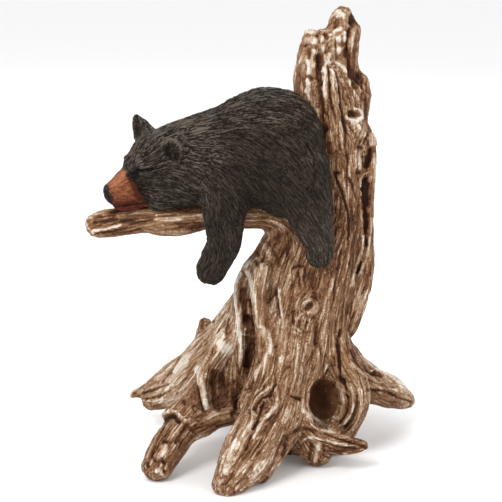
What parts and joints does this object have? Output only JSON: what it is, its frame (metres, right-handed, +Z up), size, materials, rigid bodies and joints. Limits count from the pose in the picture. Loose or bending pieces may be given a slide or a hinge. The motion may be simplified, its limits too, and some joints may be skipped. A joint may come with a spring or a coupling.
{
  "type": "bear figurine",
  "caption": "Small painted resin figurine of a black bear asleep on its belly along the branch of a weathered driftwood stump, legs hanging; stands on its roots on a shelf.",
  "frame": {"origin": "Middle of the figurine's footprint, on the surface that it stands on.", "axes": "+X to the viewer's right, from the branch's tip towards the trunk; +Y from the bear's near flank to the back; +Z up along the trunk"},
  "size_m": [0.1882, 0.1434, 0.2504],
  "materials": {
    "driftwood_paint": "cast resin carved with wood grain, brown stain in the grooves and cream dry brushing on the ridges",
    "bear_paint": "cast resin tooled with short fur strokes, charcoal black, with a rust brown muzzle and a black nose"
  },
  "bodies": {
    "root": {"driftwood": "driftwood_paint", "bear": "bear_paint"}
  },
  "joints": []
}
